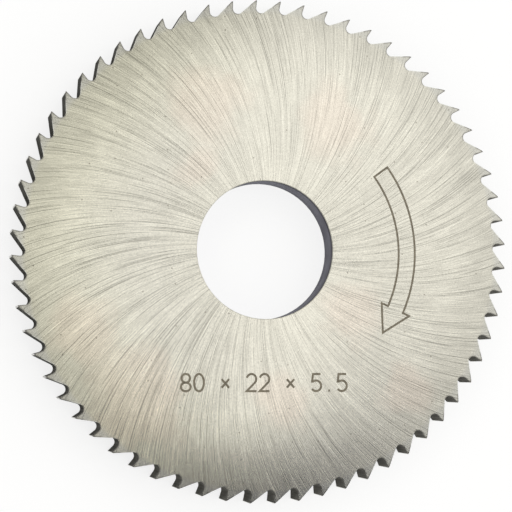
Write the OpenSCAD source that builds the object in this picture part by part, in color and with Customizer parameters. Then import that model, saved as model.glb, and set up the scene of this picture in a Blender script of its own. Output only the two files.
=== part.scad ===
// Metal slitting saw: one hollow-ground disc of high-speed steel with a plain
// bore and fine teeth. The blade lies flat with its lower tooth tips on z = 0.
// The bore axis is the Z axis, one tooth tip points along +X, and the teeth cut
// clockwise when the blade is seen from above.

/* [Blade] */
// Diameter over the tooth tips
blade_d = 80; // [63:1:125]
// Width of cut, which is the thickness at the tooth tips
blade_t = 5.5; // [2:0.1:8]
// Diameter of the flat clamping land round the bore, on both sides
hub_d = 36; // [32:1:48]
// Depth that each side is ground hollow, from the tooth tips in to the land
hollow_depth = 0.1; // [0.02:0.01:0.3]

/* [Bore] */
// Diameter of the bore for the arbor
bore_d = 22; // [16:1:27]
// Edge break at both ends of the bore
bore_chamfer = 0.1; // [0.05:0.05:0.5]

/* [Teeth] */
// Number of teeth
tooth_count = 64; // [48:1:80]
// Depth of a tooth, from its tip to the bottom of the gullet
tooth_depth = 2.1; // [1.6:0.05:2.6]
// Rake of the cutting face: how far it leans back from the radius, in degrees
rake_angle = 8; // [0:1:15]
// Radius at the bottom of the gullet
gullet_r = 0.8; // [0.3:0.05:1]
// Length of the narrow land behind each cutting edge
land_length = 0.25; // [0.1:0.05:0.6]
// Clearance angle of that land, in degrees
clearance_angle = 14; // [5:1:20]

/* [Hidden] */
$fn = 96;

steel = [0.78, 0.77, 0.72];
tip_r = blade_d / 2;
hub_r = hub_d / 2;
bore_r = bore_d / 2;
pitch_angle = 360 / tooth_count;

// The blank is turned this much larger than the tips, so that the teeth are cut
// from full material
blank_margin = 1;
// The round bottom of a gullet is cut this much larger than the straight one
// under it, so that the arc runs cleanly into the face and the back
round_overlap = 0.005;

// One tooth is worked out with its tip on the +X axis. Its cutting face looks
// clockwise, towards -Y, and the gullet lies on that side of it.
function polar(radius, angle) = radius * [cos(angle), sin(angle)];
function turned(point, angle) = [
    point.x * cos(angle) - point.y * sin(angle),
    point.x * sin(angle) + point.y * cos(angle)
];

tip = [tip_r, 0];
face_inward = polar(-1, -rake_angle);
face_normal = polar(1, -90 - rake_angle);

// The gullet's round bottom touches the cutting face and the circle of the roots
gullet_offset = tip + gullet_r * face_normal;
gullet_centre_r = tip_r - tooth_depth + gullet_r;
offset_along_face = gullet_offset * face_inward;
face_length = -offset_along_face - sqrt(
    pow(offset_along_face, 2) - gullet_offset * gullet_offset + pow(gullet_centre_r, 2));
gullet_centre = gullet_offset + face_length * face_inward;
face_foot = tip + face_length * face_inward;

// The land falls away behind the next tip, and the back runs on from its heel
// until it touches the round bottom of the gullet
next_tip = polar(tip_r, -pitch_angle);
next_heel = next_tip + polar(land_length, 90 - pitch_angle + clearance_angle);
heel_from_centre = next_heel - gullet_centre;
heel_direction = atan2(heel_from_centre.y, heel_from_centre.x);
heel_tangent = acos(gullet_r / norm(heel_from_centre));
back_foot = gullet_centre + polar(gullet_r, heel_direction - heel_tangent);

// Outline over the tips, with straight bottoms where the round gullets are cut
module tooth_outline() {
    polygon([
        for (i = [0 : tooth_count - 1])
            for (corner = [tip, face_foot, back_foot, next_heel])
                turned(corner, -i * pitch_angle)
    ]);
}

module gullet_rounds() {
    for (i = [0 : tooth_count - 1])
        rotate(-i * pitch_angle)
            translate(gullet_centre)
                circle(r = gullet_r + round_overlap);
}

// Half section of the ground blank: bore with its edge breaks, flat land, and
// sides that widen from the land out to the full width of cut at the tips
module blank_section() {
    side_slope = hollow_depth / (tip_r - hub_r);
    low_hub = hollow_depth;
    high_hub = blade_t - hollow_depth;
    rim_r = tip_r + blank_margin;
    low_rim = -blank_margin * side_slope;
    high_rim = blade_t + blank_margin * side_slope;
    polygon([
        [bore_r, low_hub + bore_chamfer],
        [bore_r + bore_chamfer, low_hub],
        [hub_r, low_hub],
        [rim_r, low_rim],
        [rim_r, high_rim],
        [hub_r, high_hub],
        [bore_r + bore_chamfer, high_hub],
        [bore_r, high_hub - bore_chamfer]
    ]);
}

module saw_blade() {
    color(steel)
        intersection() {
            rotate_extrude() blank_section();
            translate([0, 0, -blank_margin])
                linear_extrude(blade_t + 2 * blank_margin)
                    difference() {
                        tooth_outline();
                        gullet_rounds();
                    }
        }
}

saw_blade();
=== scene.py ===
"""Looks of a metal slitting saw: ground steel with curved grinding lines, dark tooth
gaps, an etched direction arrow and a plain size mark, lying face up on a pale floor."""

import math

import bmesh
import bpy
from mathutils import Matrix, Vector


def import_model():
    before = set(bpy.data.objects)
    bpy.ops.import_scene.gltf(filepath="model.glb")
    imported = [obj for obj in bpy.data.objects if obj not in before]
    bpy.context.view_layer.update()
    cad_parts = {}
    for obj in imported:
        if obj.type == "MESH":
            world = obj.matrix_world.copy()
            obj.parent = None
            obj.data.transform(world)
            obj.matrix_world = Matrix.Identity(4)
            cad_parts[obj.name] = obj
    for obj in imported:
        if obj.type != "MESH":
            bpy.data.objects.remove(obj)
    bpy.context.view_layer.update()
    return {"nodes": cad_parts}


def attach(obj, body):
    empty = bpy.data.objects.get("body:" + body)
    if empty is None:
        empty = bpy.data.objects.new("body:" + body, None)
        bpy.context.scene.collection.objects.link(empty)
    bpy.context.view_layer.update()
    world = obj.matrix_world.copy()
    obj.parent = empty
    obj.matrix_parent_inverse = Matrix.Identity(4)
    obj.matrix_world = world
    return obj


MM = 0.001
WHITE = (1, 1, 1, 1)

# Camera, from the photograph: it looks down on the blade from a little to the left
FRAME_PIXELS = 512
FOCAL_PIXELS = 1723.3
SENSOR_WIDTH = 36.0
CAMERA_DISTANCE = 272.8 * MM
CAMERA_AZIMUTH = math.radians(196.2)
CAMERA_TILT = math.radians(12.55)
CAMERA_ROLL = math.radians(-1.96)
CAMERA_TARGET = Vector((-1.575, -0.98, 5.5)) * MM
CAMERA_CLIP = 0.1 * CAMERA_DISTANCE

# Lamp: a softbox above the blade, and a dark flag that hangs lower
SOFTBOX_CENTRE = (0.484, 0.137, 1.0)
SOFTBOX_SIZE = (0.967, 0.386)
SOFTBOX_TURN = math.radians(13.4)
SOFTBOX_RADIANCE = 0.86
FLAG_CENTRE = (0.0755, -0.0795, 0.33)
FLAG_SIZE = (0.081, 0.072)
FLAG_TURN = math.radians(3.6)
FLAG_COLOUR = (0.025, 0.03, 0.08, 1)

# Room: pale walls, a dim ceiling, and a white backdrop low down. A gain is the share by
# which a radiance grows towards an axis. Heights are sines of the angle above the floor.
ROOM_COLOUR = (1.0, 0.99, 0.95, 1)
WALL_RADIANCE = 0.68
LOW_WALL_GAIN_X = 0.8
LOW_WALL_GAIN_Y = -0.25
HIGH_WALL_GAIN_Y = 0.48
HIGH_WALL_HEIGHTS = (0.35, 0.6)
CEILING_RADIANCE = 0.213
CEILING_GAIN_X = 0.8
CEILING_HEIGHTS = (0.65, 0.92)
BACKDROP_RADIANCE = 1.0
BACKDROP_HEIGHTS = (0.2, 0.4)

# Floor: matt, with a share of plain white where it is seen
FLOOR_SIZE = 4.0
FLOOR_COLOUR = (0.92, 0.92, 0.92, 1)
FLOOR_WHITE = 1.33
FLOOR_SHARE = 0.6

# Blade: the root radius is that of the tooth gaps' bottoms, and the narrow lands behind
# the cutting edges lie outside the land radius
BLADE_WIDTH = 5.5 * MM
TOOTH_COUNT = 64
ROOT_RADIUS = 37.9 * MM
LAND_RADIUS = 39.93 * MM

# Ground sides. A pair of radii tells where a change begins and where it is complete.
# Cells of a noise are counted per metre.
STEEL = (0.782, 0.757, 0.658, 1)
HUB_RADII = (9 * MM, 22 * MM)
HUB_TONE = 1.06
RIM_RADII = (29 * MM, ROOT_RADIUS + 1 * MM)
RIM_TONE = 0.845
TEETH_RADII = (ROOT_RADIUS - 0.3 * MM, ROOT_RADIUS + 0.8 * MM)
TEETH_STEEL = (0.745, 0.74, 0.68, 1)
TEETH_TINT = 0.6
TEETH_TONE = 0.95
TEETH_EVENNESS = 0.65
GRAIN_CELLS = 4000.0
GRAIN_SWING = 0.36

# Grinding lines: arcs cut by the rim of a cup wheel that passes close to the bore's axis.
# Their cells are counted per radian across the lines and per metre along the radius.
WHEEL_RADIUS = 50.2 * MM
WHEEL_OFFSET = 50.7 * MM
OUTWARD_RADII = (16 * MM, 30 * MM)
INNER_FINE_LINES = (320, 110)
OUTER_FINE_LINES = (500, 170)
FINE_SWING = 0.55
INNER_DASHES = (260, 500)
OUTER_DASHES = (420, 700)
DASH_SWING = 0.38
CALM_RADII = (12 * MM, 24 * MM)
CALM_SHARE = 0.6
BANDS = (26, 50)
BAND_SWING = 0.16
DARK_LINES = (230, 80)
DARK_LINE_DROP = 0.29
PALE_LINES = (210, 90)
PALE_LINE_RISE = 0.1
STRONG_LINE_LEVELS = (0.6, 0.76)

# Tints on the ground sides: rosy patches, each with its angle in degrees, its distance
# from the axis and its size, and a painted warm reflection towards the rim on the -X side
ROSY_STEEL = (0.822, 0.755, 0.65, 1)
ROSY_PATCHES = (
    (58, 24 * MM, 7 * MM),
    (110, 25.5 * MM, 7 * MM),
    (128, 17 * MM, 3.5 * MM),
    (203, 32 * MM, 6 * MM),
    (227, 32 * MM, 9 * MM),
    (275, 23.5 * MM, 5 * MM),
    (323, 17 * MM, 5 * MM),
    (314, 32 * MM, 4.5 * MM),
)
PATCH_CELLS = 150.0
PATCH_FADE = (0.4, 1.2)
# Painted warm reflection towards the rim on the -X side
WARM_REFLECTION_TINT = (1, 1, 0.92, 1)
WARM_REFLECTION_SIDE = (-25 * MM, 10 * MM)
WARM_REFLECTION_RADII = (18 * MM, 38 * MM)

# Pits, one in each chosen cell of a pattern, with their size as a share of a cell
PIT_COLOUR = (0.2, 0.17, 0.13, 1)
PIT_CELLS = 220.0
PIT_CHOICE = 0.6
PIT_SIZE = (0.015, 0.035)
PIT_STRENGTH = 0.6

# Thin lines at the tooth edges: painted shade by the cutting faces and a painted highlight
# by the backs. The front of a tooth is told by the angle from its tip, in tooth pitches. An
# edge is near where a small share of the rays into the metal stay in it for the width of a
# line.
EDGE_WIDTH = 0.3 * MM
EDGE_SAMPLES = 6
EDGE_RADII = (ROOT_RADIUS - 3 * MM, ROOT_RADIUS - 2 * MM)
FRONT_MIDDLE = 0.05
FRONT_REACH = (0.2, 0.3)
# Painted shade along the edges by the cutting faces
EDGE_SHADE = (0.2, 0.19, 0.17, 1)
EDGE_SHADE_SHARES = (0.55, 0.9)
EDGE_SHADE_STRENGTH = 0.95
# Painted highlight along the edges by the backs
EDGE_HIGHLIGHT = (0.85, 0.85, 0.82, 1)
EDGE_HIGHLIGHT_SHARES = (0.5, 0.75)
EDGE_HIGHLIGHT_STRENGTH = 0.7

# Walls of the tooth gaps and of the bore. Cells of their lines are counted per metre
# along X, Y and Z.
BORE_TO_GAPS = (14 * MM, 20 * MM)
GAP_COLOUR = (0.18, 0.18, 0.168, 1)
GAP_LINES = (4500, 4500, 140)
GAP_GLOSS = 0.5
CUTTING_COLOUR = (0.265, 0.262, 0.245, 1)
CUTTING_FACING = (0.3, 0.8)
LAND_COLOUR = (0.62, 0.61, 0.57, 1)
LAND_BLEND = 0.01 * MM
BORE_COLOUR = (0.38, 0.38, 0.435, 1)
BORE_LINES = (120, 120, 7000)
BORE_GLOSS = 0.9
# The bore's upper end is darkened by a band of painted shade
BORE_SHADE_HEIGHTS = (BLADE_WIDTH - 1.2 * MM, BLADE_WIDTH - 0.9 * MM)
BORE_SHADE_TONE = 0.55
WALL_LINE_SWING = 1.1
BLOTCH_CELLS = 420.0
BLOTCH_SWING = 0.7
GLOSS_FACING = (0.3, 0.7)

# Finish. A surface is level where its normal is upright.
FACE_LEVELS = (0.3, 0.6)
POLISHED_LEVELS = (0.85, 0.95)
FACE_ROUGHNESS = 0.19
WALL_ROUGHNESS = 0.4
DULLNESS_CELLS = 300.0
DULLNESS_SWING = 0.4
ANISOTROPY = 0.8
RELIEF = 0.004 * MM

# Etched marks: thin strips that rise a little out of the face and are sunk into it
MARK_DARK = (0.27, 0.235, 0.175, 1)
MARK_PALE = (0.39, 0.345, 0.26, 1)
MARK_CELLS = 2500.0
MARK_LEVELS = (0.3, 0.7)
MARK_ROUGHNESS = 0.65
MARK_RISE = 0.012 * MM
MARK_SINK = 0.03 * MM
MITRE_LIMIT = 0.4
ABOVE_BLADE = 1.0

# Direction arrow
ARROW_LINE = 0.33 * MM
ARROW_CENTRE = Vector((1.2, -0.3)) * MM
ARROW_RADIUS = 22.13 * MM
ARROW_SHAFT = 2.7 * MM
ARROW_HEAD = 5.0 * MM
ARROW_TAIL_ANGLE = math.radians(34.3)
ARROW_NECK_ANGLE = math.radians(-26.2)
ARROW_TIP_ANGLE = math.radians(-37.3)
ARROW_STEPS = 24

# Size mark: diameter, bore and width of cut in millimetres
FIGURES = "80 x 22 x 5.5"
FIGURE_LINE = 0.35 * MM
FIGURE_HEIGHT = 2.7 * MM
FIGURE_PITCH = 2.1 * MM
FIGURE_TILT = math.radians(-2.0)
FIGURE_CENTRE = Vector((-0.86, -21.0)) * MM


class Nodes:
    """A node tree with short calls for adding nodes and linking sockets."""

    def __init__(self, tree):
        tree.nodes.clear()
        self.tree = tree

    def add(self, kind, inputs=None, **settings):
        node = self.tree.nodes.new(kind)
        for name, value in settings.items():
            setattr(node, name, value)
        for name, value in (inputs or {}).items():
            self.set(node.inputs[name], value)
        return node

    def set(self, socket, value):
        if isinstance(value, bpy.types.NodeSocket):
            self.tree.links.new(value, socket)
        else:
            socket.default_value = value

    def math(self, operation, *values, clamp=False):
        node = self.add(
            "ShaderNodeMath", dict(enumerate(values)), operation=operation, use_clamp=clamp
        )
        return node.outputs[0]

    def vector_math(self, operation, *values):
        return self.add("ShaderNodeVectorMath", dict(enumerate(values)), operation=operation)

    def vector(self, operation, *values):
        """Vector math that gives a vector."""
        return self.vector_math(operation, *values).outputs["Vector"]

    def measure(self, operation, *values):
        """Vector math that gives a number."""
        return self.vector_math(operation, *values).outputs["Value"]

    def scale(self, vector, factor):
        node = self.vector_math("SCALE", vector)
        self.set(node.inputs["Scale"], factor)
        return node.outputs["Vector"]

    def split(self, vector):
        """The outputs X, Y and Z of vector."""
        return self.add("ShaderNodeSeparateXYZ", {0: vector}).outputs

    def times(self, first, *others):
        """Product of all the values."""
        for other in others:
            first = self.math("MULTIPLY", first, other)
        return first

    def gain(self, value, amount, start=1.0):
        """start with amount times value added."""
        return self.math("MULTIPLY_ADD", value, amount, start)

    def swing(self, value, amount):
        """value, which averages a half, as a factor about 1 that varies by amount."""
        return self.gain(value, amount, 1.0 - amount / 2)

    def ramp(self, value, low, high, to_low=0.0, to_high=1.0):
        """value mapped from low..high to to_low..to_high with eased ends."""
        node = self.add(
            "ShaderNodeMapRange",
            {
                "Value": value,
                "From Min": low,
                "From Max": high,
                "To Min": to_low,
                "To Max": to_high,
            },
            interpolation_type="SMOOTHSTEP",
        )
        return node.outputs["Result"]

    def mix_value(self, factor, a, b):
        node = self.add("ShaderNodeMix", {0: factor, 2: a, 3: b}, data_type="FLOAT")
        return node.outputs[0]

    def mix_colour(self, factor, a, b, blend="MIX"):
        node = self.add(
            "ShaderNodeMix", {0: factor, 6: a, 7: b}, data_type="RGBA", blend_type=blend
        )
        return node.outputs[2]

    def noise(self, vector, scale, detail=2.0):
        node = self.add(
            "ShaderNodeTexNoise", {"Vector": vector, "Scale": scale, "Detail": detail}
        )
        return node.outputs["Fac"]


def new_material(name):
    material = bpy.data.materials.new(name)
    material.use_nodes = True
    return material, Nodes(material.node_tree)


def wheel_direction(nodes, flat, radius):
    """Direction from the bore's axis to the middle of the wheel that cut this grinding line.
    It is the same all along one line, so it tells the lines apart."""
    difference = WHEEL_OFFSET**2 - WHEEL_RADIUS**2
    top = nodes.math("MULTIPLY_ADD", radius, radius, difference)
    cosine = nodes.math("DIVIDE", top, nodes.times(radius, 2 * WHEEL_OFFSET))
    turn = nodes.math("ARCCOSINE", cosine)
    wheel = nodes.add(
        "ShaderNodeVectorRotate", {"Vector": flat, "Angle": turn}, rotation_type="Z_AXIS"
    )
    return nodes.vector("NORMALIZE", wheel.outputs[0])


def rosy_patches(nodes, flat):
    """How far the steel is tinted rosy, in a few soft patches with uneven edges."""
    uneven = nodes.noise(flat, PATCH_CELLS)
    rosy = 0.0
    for degrees, radius, size in ROSY_PATCHES:
        angle = math.radians(degrees)
        middle = radius * Vector((math.cos(angle), math.sin(angle), 0))
        reach = nodes.times(uneven, 2 * size)
        share = nodes.math("DIVIDE", nodes.measure("DISTANCE", flat, middle), reach)
        rosy = nodes.math("MAXIMUM", rosy, nodes.ramp(share, *PATCH_FADE, 1.0, 0.0))
    return rosy


def warm_reflection_rim(nodes, flat, radius):
    """How far the steel is tinted warm towards the rim on the -X side, a painted reflection.
    """
    side = nodes.ramp(nodes.split(flat)["X"], *WARM_REFLECTION_SIDE, 1.0, 0.0)
    return nodes.times(side, nodes.ramp(radius, *WARM_REFLECTION_RADII))


def small_pits(nodes, flat):
    """How far the steel is darkened by a few small pits."""
    cells = nodes.add(
        "ShaderNodeTexVoronoi", {"Vector": flat, "Scale": PIT_CELLS}, voronoi_dimensions="2D"
    )
    draw = nodes.add("ShaderNodeSeparateColor", {0: cells.outputs["Color"]}).outputs[0]
    chosen = nodes.math("GREATER_THAN", draw, PIT_CHOICE)
    pit = nodes.ramp(cells.outputs["Distance"], *PIT_SIZE, PIT_STRENGTH, 0.0)
    return nodes.times(chosen, pit)


def ground_face(nodes, place, flat, radius, direction):
    """Colour and relief of the flat sides, with fine lines left by the cup wheel."""

    def lines(cells):
        """Noise drawn out along the grinding lines."""
        across, along = cells
        depth = nodes.add("ShaderNodeCombineXYZ", {"Z": nodes.times(radius, along)})
        point = nodes.vector("ADD", nodes.scale(direction, across), depth.outputs[0])
        return nodes.noise(point, 1.0, 0.0)

    outward = nodes.ramp(radius, *OUTWARD_RADII)
    fine = nodes.mix_value(outward, lines(INNER_FINE_LINES), lines(OUTER_FINE_LINES))
    dashes = nodes.mix_value(outward, lines(INNER_DASHES), lines(OUTER_DASHES))
    dark = nodes.ramp(lines(DARK_LINES), *STRONG_LINE_LEVELS)
    pale = nodes.ramp(lines(PALE_LINES), *STRONG_LINE_LEVELS)

    # The fine lines and dashes are calmer towards the bore
    calm = nodes.ramp(radius, *CALM_RADII, CALM_SHARE, 0.0)
    tone = nodes.times(nodes.swing(dashes, DASH_SWING), nodes.swing(fine, FINE_SWING))
    tone = nodes.mix_value(calm, tone, 1.0)
    tone = nodes.times(
        tone,
        nodes.swing(lines(BANDS), BAND_SWING),
        nodes.gain(dark, -DARK_LINE_DROP),
        nodes.gain(pale, PALE_LINE_RISE),
    )

    # The lines fade out on the teeth, which are greyer
    teeth = nodes.ramp(radius, *TEETH_RADII)
    tone = nodes.mix_value(nodes.times(teeth, TEETH_EVENNESS), tone, TEETH_TONE)
    tone = nodes.times(
        tone,
        nodes.swing(nodes.noise(place, GRAIN_CELLS, 1.0), GRAIN_SWING),
        nodes.ramp(radius, *RIM_RADII, 1.0, RIM_TONE),
        nodes.ramp(radius, *HUB_RADII, HUB_TONE, 1.0),
    )
    hue = nodes.mix_colour(rosy_patches(nodes, flat), STEEL, ROSY_STEEL)
    # A painted warm reflection towards the rim on the -X side
    hue = nodes.mix_colour(warm_reflection_rim(nodes, flat, radius), hue, WARM_REFLECTION_TINT, "MULTIPLY")
    hue = nodes.mix_colour(nodes.times(teeth, TEETH_TINT), hue, TEETH_STEEL)
    colour = nodes.mix_colour(1.0, hue, tone, "MULTIPLY")

    pit = small_pits(nodes, flat)
    colour = nodes.mix_colour(pit, colour, PIT_COLOUR)
    relief = nodes.math("SUBTRACT", fine, nodes.math("ADD", dark, pit))
    return colour, relief


def tooth_edges(nodes, flat, radius, colour):
    """colour with thin lines at the tooth edges: painted shade by the cutting faces and a
    painted highlight by the backs."""
    sides = nodes.split(flat)
    angle = nodes.math("ARCTAN2", sides["Y"], sides["X"])
    pitches = nodes.gain(angle, TOOTH_COUNT / math.tau, 0.5 - FRONT_MIDDLE)
    off_middle = nodes.math("SUBTRACT", nodes.math("FRACT", pitches), 0.5)
    front = nodes.ramp(nodes.math("ABSOLUTE", off_middle), *FRONT_REACH, 1.0, 0.0)

    below = nodes.add(
        "ShaderNodeAmbientOcclusion",
        {"Distance": EDGE_WIDTH},
        samples=EDGE_SAMPLES,
        inside=True,
        only_local=True,
    )
    staying = below.outputs["AO"]
    # Painted shade along the edges by the cutting faces
    shaded_edge = nodes.times(nodes.ramp(staying, *EDGE_SHADE_SHARES, EDGE_SHADE_STRENGTH, 0.0), front)
    # A painted highlight along the other tooth edges
    pale = nodes.ramp(staying, *EDGE_HIGHLIGHT_SHARES, EDGE_HIGHLIGHT_STRENGTH, 0.0)
    pale = nodes.math("SUBTRACT", pale, front, clamp=True)
    toothed = nodes.ramp(radius, *EDGE_RADII)
    colour = nodes.mix_colour(nodes.times(toothed, shaded_edge), colour, EDGE_SHADE)
    return nodes.mix_colour(nodes.times(toothed, pale), colour, EDGE_HIGHLIGHT)


def dark_wall(nodes, place, flat, radius, normal):
    """Colour, polish and relief of the tooth gaps, dark from hardening, and of the bore."""
    outer = nodes.ramp(radius, *BORE_TO_GAPS)

    # The tooth gaps were cut across the blade, and the bore was ground round
    gap_lines = nodes.noise(nodes.vector("MULTIPLY", place, GAP_LINES), 1.0)
    bore_lines = nodes.noise(nodes.vector("MULTIPLY", place, BORE_LINES), 1.0)
    lines = nodes.mix_value(outer, bore_lines, gap_lines)
    blotches = nodes.noise(place, BLOTCH_CELLS)

    # The bore is darker at its upper end, a band of painted shade
    bore_shade = nodes.ramp(nodes.split(place)["Z"], *BORE_SHADE_HEIGHTS, 1.0, BORE_SHADE_TONE)
    tone = nodes.times(
        nodes.swing(lines, WALL_LINE_SWING),
        nodes.swing(blotches, BLOTCH_SWING),
        nodes.mix_value(outer, bore_shade, 1.0),
    )

    # The cutting faces look clockwise
    clockwise = nodes.vector("NORMALIZE", nodes.vector("CROSS_PRODUCT", flat, (0, 0, 1)))
    ahead = nodes.measure("DOT_PRODUCT", normal, clockwise)
    hue = nodes.mix_colour(nodes.ramp(ahead, *CUTTING_FACING), GAP_COLOUR, CUTTING_COLOUR)
    hue = nodes.mix_colour(outer, BORE_COLOUR, hue)
    colour = nodes.mix_colour(1.0, hue, tone, "MULTIPLY")

    # Each tooth is sharpened bright on the narrow land behind its cutting edge
    land = nodes.ramp(radius, LAND_RADIUS - LAND_BLEND, LAND_RADIUS)
    colour = nodes.mix_colour(land, colour, LAND_COLOUR)

    # The gloss is lost where the rough wall is seen along its length
    facing = nodes.add("ShaderNodeLayerWeight").outputs["Facing"]
    gloss = nodes.ramp(facing, *GLOSS_FACING, 1.0, 0.0)
    polish = nodes.times(gloss, nodes.mix_value(outer, BORE_GLOSS, GAP_GLOSS))
    return colour, nodes.math("MAXIMUM", polish, land), lines


def ground_steel():
    material, nodes = new_material("ground_steel")
    coordinates = nodes.add("ShaderNodeTexCoord")
    place = coordinates.outputs["Object"]
    normal = coordinates.outputs["Normal"]
    flat = nodes.vector("MULTIPLY", place, (1, 1, 0))
    radius = nodes.measure("LENGTH", flat)
    direction = wheel_direction(nodes, flat, radius)
    face_colour, face_relief = ground_face(nodes, place, flat, radius, direction)
    face_colour = tooth_edges(nodes, flat, radius, face_colour)
    wall_colour, wall_polish, wall_relief = dark_wall(nodes, place, flat, radius, normal)

    level = nodes.math("ABSOLUTE", nodes.split(normal)["Z"])
    face = nodes.ramp(level, *FACE_LEVELS)
    polished = nodes.ramp(level, *POLISHED_LEVELS)
    height = nodes.mix_value(face, wall_relief, face_relief)
    relief = nodes.add(
        "ShaderNodeBump", {"Strength": 1.0, "Distance": RELIEF, "Height": height}
    )

    # Gloss spreads across the grinding lines, away from the middle of their wheel
    across = nodes.vector("SUBTRACT", flat, nodes.scale(direction, WHEEL_OFFSET))
    dullness = nodes.swing(nodes.noise(flat, DULLNESS_CELLS), DULLNESS_SWING)
    roughness = nodes.mix_value(face, WALL_ROUGHNESS, FACE_ROUGHNESS)
    surface = nodes.add(
        "ShaderNodeBsdfPrincipled",
        {
            "Base Color": nodes.mix_colour(face, wall_colour, face_colour),
            "Metallic": nodes.mix_value(face, wall_polish, polished),
            "Roughness": nodes.times(roughness, dullness),
            "Specular IOR Level": 0.0,
            "Anisotropic": ANISOTROPY,
            "Tangent": across,
            "Normal": relief.outputs[0],
        },
    )
    nodes.add("ShaderNodeOutputMaterial", {"Surface": surface.outputs[0]})
    return material


def etched_mark():
    material, nodes = new_material("etched_mark")
    place = nodes.add("ShaderNodeTexCoord").outputs["Object"]
    mottle = nodes.ramp(nodes.noise(place, MARK_CELLS), *MARK_LEVELS)
    surface = nodes.add(
        "ShaderNodeBsdfPrincipled",
        {
            "Base Color": nodes.mix_colour(mottle, MARK_DARK, MARK_PALE),
            "Metallic": 0.0,
            "Roughness": MARK_ROUGHNESS,
        },
    )
    nodes.add("ShaderNodeOutputMaterial", {"Surface": surface.outputs[0]})
    return material


def arc(centre, radii, start, end, steps):
    """Points from angle start to angle end, in degrees, on an ellipse."""
    points = []
    for i in range(steps + 1):
        angle = math.radians(start + (end - start) * i / steps)
        x = centre[0] + radii[0] * math.cos(angle)
        y = centre[1] + radii[1] * math.sin(angle)
        points.append(Vector((x, y)))
    return points


def figure_strokes(figure):
    """Strokes of one figure as (points, closed), one unit high, about its middle."""
    if figure == "0":
        return [(arc((0, 0), (0.29, 0.5), 0, 345, 23), True)]
    if figure == "8":
        upper = arc((0, 0.25), (0.25, 0.25), 0, 340, 17)
        lower = arc((0, -0.25), (0.29, 0.25), 0, 340, 17)
        return [(upper, True), (lower, True)]
    if figure == "2":
        bowl = arc((0, 0.2), (0.28, 0.3), 165, -35, 14)
        return [(bowl + [Vector((-0.29, -0.5)), Vector((0.3, -0.5))], False)]
    if figure == "5":
        flag = [Vector((0.26, 0.5)), Vector((-0.2, 0.5)), Vector((-0.25, 0.06))]
        return [(flag + arc((-0.01, -0.19), (0.3, 0.31), 125, -145, 16), False)]
    if figure == "x":
        rising = [Vector((-0.22, -0.3)), Vector((0.22, 0.2))]
        falling = [Vector((-0.22, 0.2)), Vector((0.22, -0.3))]
        return [(rising, False), (falling, False)]
    if figure == ".":
        return [([Vector((-0.05, -0.47)), Vector((0.05, -0.47))], False)]
    return []


def add_ring(mesh, blade, point, sideways):
    """Corners of a strip's section at point, two above the face and two under it."""
    corners = (
        (point + sideways, MARK_RISE),
        (point - sideways, MARK_RISE),
        (point - sideways, -MARK_SINK),
        (point + sideways, -MARK_SINK),
    )
    ring = []
    for spot, rise in corners:
        hit = blade.ray_cast((spot.x, spot.y, ABOVE_BLADE), (0, 0, -1))[1]
        ring.append(mesh.verts.new((spot.x, spot.y, hit.z + rise)))
    return ring


def add_ribbon(mesh, blade, points, closed, width):
    """A closed flat strip along points, lying on the face of the blade."""
    count = len(points)
    rings = []
    for i, point in enumerate(points):
        before = points[i - 1] if closed or i > 0 else point
        after = points[(i + 1) % count] if closed or i < count - 1 else point
        arriving = (point - before) if point != before else (after - point)
        leaving = (after - point) if after != point else (point - before)
        sides = [Vector((-way.y, way.x)).normalized() for way in (arriving, leaving)]
        mitre = (sides[0] + sides[1]).normalized()
        reach = width / 2 / max(mitre.dot(sides[0]), MITRE_LIMIT)
        rings.append(add_ring(mesh, blade, point, mitre * reach))
    for i in range(count if closed else count - 1):
        ring = rings[i]
        following = rings[(i + 1) % count]
        for corner in range(len(ring)):
            other = (corner + 1) % len(ring)
            mesh.faces.new((ring[corner], ring[other], following[other], following[corner]))
    if not closed:
        mesh.faces.new(rings[0][::-1])
        mesh.faces.new(rings[-1])


def add_mark(name, blade, strokes, width, material):
    mesh = bmesh.new()
    for points, closed in strokes:
        add_ribbon(mesh, blade, points, closed, width)
    bmesh.ops.recalc_face_normals(mesh, faces=mesh.faces)
    data = bpy.data.meshes.new(name)
    mesh.to_mesh(data)
    mesh.free()
    mark = bpy.data.objects.new(name, data)
    mark.data.materials.append(material)
    bpy.context.scene.collection.objects.link(mark)
    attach(mark, "root")


def arrow_strokes():
    """Outline of a curved arrow that points clockwise, the way the teeth cut."""

    def spot(radius, angle):
        return ARROW_CENTRE + radius * Vector((math.cos(angle), math.sin(angle)))

    sweep = ARROW_NECK_ANGLE - ARROW_TAIL_ANGLE
    angles = [ARROW_TAIL_ANGLE + sweep * i / ARROW_STEPS for i in range(ARROW_STEPS + 1)]
    outer = [spot(ARROW_RADIUS + ARROW_SHAFT / 2, angle) for angle in angles]
    inner = [spot(ARROW_RADIUS - ARROW_SHAFT / 2, angle) for angle in reversed(angles)]
    head = [
        spot(ARROW_RADIUS + ARROW_HEAD / 2, ARROW_NECK_ANGLE),
        spot(ARROW_RADIUS, ARROW_TIP_ANGLE),
        spot(ARROW_RADIUS - ARROW_HEAD / 2, ARROW_NECK_ANGLE),
    ]
    return [(outer + head + inner, True)]


def size_strokes():
    """Strokes of the size mark, figure by figure along a straight line."""
    turn = Matrix.Rotation(FIGURE_TILT, 2)
    strokes = []
    for i, figure in enumerate(FIGURES):
        middle = Vector(((i - (len(FIGURES) - 1) / 2) * FIGURE_PITCH, 0))
        for points, closed in figure_strokes(figure):
            placed = [
                FIGURE_CENTRE + turn @ (middle + FIGURE_HEIGHT * point) for point in points
            ]
            strokes.append((placed, closed))
    return strokes


def seen_directly(nodes):
    """1 for rays from the camera and for those mirrored or let through, 0 for light."""
    path = nodes.add("ShaderNodeLightPath")
    seen = nodes.math("MAXIMUM", path.outputs["Is Camera Ray"], path.outputs["Is Glossy Ray"])
    return nodes.math("MAXIMUM", seen, path.outputs["Is Transmission Ray"])


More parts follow.
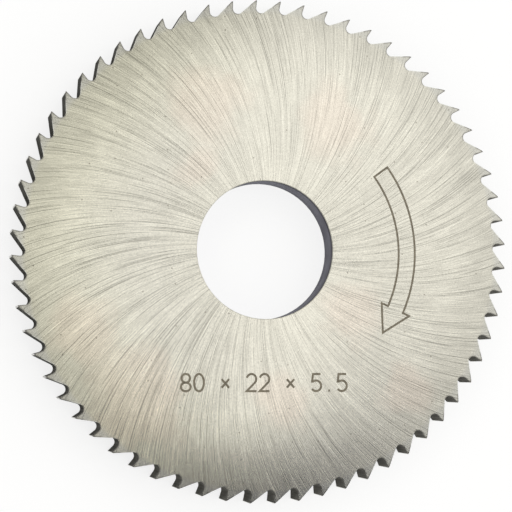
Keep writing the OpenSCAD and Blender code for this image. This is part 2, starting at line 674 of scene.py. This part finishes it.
def pale_floor():
    """Matt white, with its shadow softened for the camera and for reflections."""
    material, nodes = new_material("pale_floor")
    matt = nodes.add("ShaderNodeBsdfDiffuse", {"Color": FLOOR_COLOUR})
    white = nodes.add("ShaderNodeEmission", {"Color": WHITE, "Strength": FLOOR_WHITE})
    share = nodes.times(seen_directly(nodes), FLOOR_SHARE)
    mixed = nodes.add(
        "ShaderNodeMixShader", {0: share, 1: matt.outputs[0], 2: white.outputs[0]}
    )
    nodes.add("ShaderNodeOutputMaterial", {"Surface": mixed.outputs[0]})
    return material


def black_cloth():
    """Bluish black, for the flag."""
    material, nodes = new_material("black_cloth")
    matt = nodes.add("ShaderNodeBsdfDiffuse", {"Color": FLAG_COLOUR})
    nodes.add("ShaderNodeOutputMaterial", {"Surface": matt.outputs[0]})
    return material


def add_floor():
    bpy.ops.mesh.primitive_plane_add(size=FLOOR_SIZE)
    floor = bpy.context.object
    floor.name = "floor"
    floor.data.materials.append(pale_floor())


def add_room():
    world = bpy.data.worlds.new("studio")
    bpy.context.scene.world = world
    world.use_nodes = True
    nodes = Nodes(world.node_tree)
    way = nodes.split(nodes.add("ShaderNodeTexCoord").outputs["Generated"])

    low_wall = nodes.gain(way["X"], WALL_RADIANCE * LOW_WALL_GAIN_X, WALL_RADIANCE)
    low_wall = nodes.gain(way["Y"], WALL_RADIANCE * LOW_WALL_GAIN_Y, low_wall)
    high_wall = nodes.gain(way["Y"], WALL_RADIANCE * HIGH_WALL_GAIN_Y, WALL_RADIANCE)
    wall = nodes.mix_value(nodes.ramp(way["Z"], *HIGH_WALL_HEIGHTS), low_wall, high_wall)
    ceiling = nodes.gain(way["X"], CEILING_RADIANCE * CEILING_GAIN_X, CEILING_RADIANCE)
    strength = nodes.mix_value(nodes.ramp(way["Z"], *CEILING_HEIGHTS), wall, ceiling)

    # A white backdrop stands round the floor
    low = nodes.ramp(way["Z"], *BACKDROP_HEIGHTS, 1.0, 0.0)
    backdrop = nodes.times(low, seen_directly(nodes))
    strength = nodes.mix_value(backdrop, strength, BACKDROP_RADIANCE)
    colour = nodes.mix_colour(backdrop, ROOM_COLOUR, WHITE)
    room = nodes.add("ShaderNodeBackground", {"Color": colour, "Strength": strength})
    nodes.add("ShaderNodeOutputWorld", {"Surface": room.outputs[0]})


def add_lamp():
    light = bpy.data.lights.new("softbox", "AREA")
    light.shape = "RECTANGLE"
    light.size, light.size_y = SOFTBOX_SIZE
    light.energy = SOFTBOX_RADIANCE * math.pi * light.size * light.size_y
    softbox = bpy.data.objects.new("softbox", light)
    softbox.location = SOFTBOX_CENTRE
    softbox.rotation_euler.z = SOFTBOX_TURN
    bpy.context.scene.collection.objects.link(softbox)

    bpy.ops.mesh.primitive_plane_add(
        size=1.0, location=FLAG_CENTRE, rotation=(0, 0, FLAG_TURN)
    )
    flag = bpy.context.object
    flag.name = "flag"
    flag.scale = (*FLAG_SIZE, 1)
    flag.data.materials.append(black_cloth())


def add_camera():
    back = Vector(
        (
            math.sin(CAMERA_TILT) * math.cos(CAMERA_AZIMUTH),
            math.sin(CAMERA_TILT) * math.sin(CAMERA_AZIMUTH),
            math.cos(CAMERA_TILT),
        )
    )
    upward = Vector((-math.sin(CAMERA_ROLL), math.cos(CAMERA_ROLL), 0))
    right = upward.cross(back).normalized()
    up = back.cross(right)
    turn = Matrix((right, up, back)).transposed().to_4x4()

    camera = bpy.data.cameras.new("camera")
    camera.sensor_width = SENSOR_WIDTH
    camera.lens = FOCAL_PIXELS / FRAME_PIXELS * SENSOR_WIDTH
    camera.clip_start = CAMERA_CLIP
    viewer = bpy.data.objects.new("camera", camera)
    viewer.matrix_world = Matrix.Translation(CAMERA_TARGET + CAMERA_DISTANCE * back) @ turn
    bpy.context.scene.collection.objects.link(viewer)
    bpy.context.scene.camera = viewer


def main():
    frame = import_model()
    bpy.context.scene.view_settings.view_transform = "Standard"

    blade = frame["nodes"]["saw_blade"]
    blade.data.materials.clear()
    blade.data.materials.append(ground_steel())
    mark_material = etched_mark()
    add_mark("direction_arrow", blade, arrow_strokes(), ARROW_LINE, mark_material)
    add_mark("size_figures", blade, size_strokes(), FIGURE_LINE, mark_material)

    add_floor()
    add_room()
    add_lamp()
    add_camera()


main()
